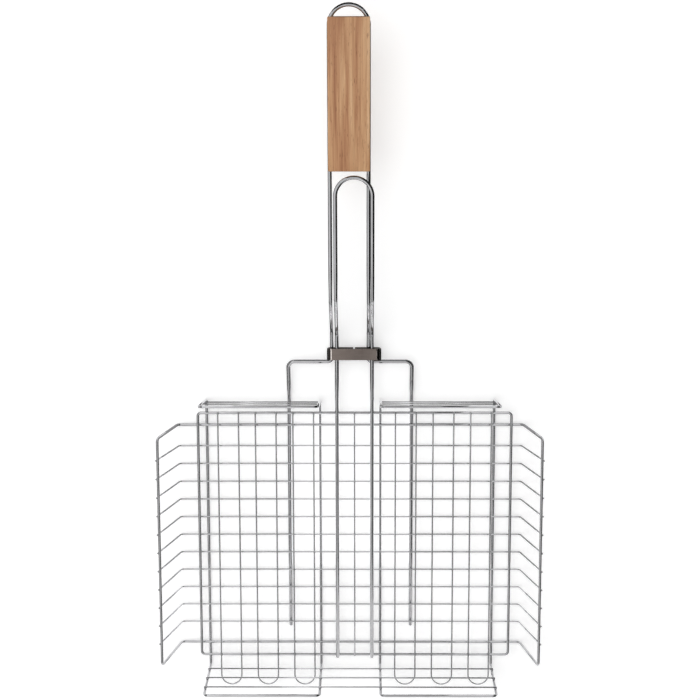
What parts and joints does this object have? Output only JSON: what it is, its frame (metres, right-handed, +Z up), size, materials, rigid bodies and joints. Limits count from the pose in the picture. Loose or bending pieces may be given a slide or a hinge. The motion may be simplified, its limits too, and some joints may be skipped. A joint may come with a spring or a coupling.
{
  "type": "grill basket",
  "caption": "Wire grill basket with flared walls, a hinged wire lid that hooks into the far wall, a sliding lock ring and a long wire handle with a wooden grip.",
  "frame": {"origin": "on the table under the middle of the whole basket, handle included", "axes": "+Y from the tray towards the grip, +Z up out of the tray, +X to the right seen from above with the grip up"},
  "size_m": [0.3472, 0.6235, 0.0866],
  "materials": {
    "chrome_wire": "bright plated steel wire",
    "ring_steel": "dark plated steel strip, satin",
    "beech": "oiled hardwood, fine straight grain"
  },
  "bodies": {
    "tray": {"side_frame": "chrome_wire", "cross_wire_01": "chrome_wire", "cross_wire_02": "chrome_wire", "cross_wire_03": "chrome_wire", "cross_wire_04": "chrome_wire", "cross_wire_05": "chrome_wire", "cross_wire_06": "chrome_wire", "cross_wire_07": "chrome_wire", "cross_wire_08": "chrome_wire", "cross_wire_09": "chrome_wire", "cross_wire_10": "chrome_wire", "cross_wire_11": "chrome_wire", "end_frame_left": "chrome_wire", "end_frame_right": "chrome_wire", "far_rung_1": "chrome_wire", "far_rung_2": "chrome_wire", "far_rung_3": "chrome_wire", "near_rung_left_1": "chrome_wire", "near_rung_right_1": "chrome_wire", "near_rung_left_2": "chrome_wire", "near_rung_right_2": "chrome_wire", "handle_wire": "chrome_wire", "grip": "beech"},
    "lid": {"lid_frame": "chrome_wire", "lid_hairpin_left_1": "chrome_wire", "lid_hairpin_left_2": "chrome_wire", "lid_hairpin_left_3": "chrome_wire", "lid_hairpin_right_1": "chrome_wire", "lid_hairpin_right_2": "chrome_wire", "lid_hairpin_right_3": "chrome_wire", "lid_middle_wire": "chrome_wire", "lid_loop": "chrome_wire"},
    "ring": {"lock_ring": "ring_steel"}
  },
  "joints": [
    {"name": "lid_hinge", "type": "hinge", "parent": "tray", "child": "lid", "pos_m": [0.004, -0.29661, 0.016], "axis": [1, 0, 0], "range_deg": [0, 75]},
    {"name": "ring_slide", "type": "slide", "parent": "tray", "child": "ring", "axis": [0, 1, 0], "range_m": [0, 0.008]}
  ]
}
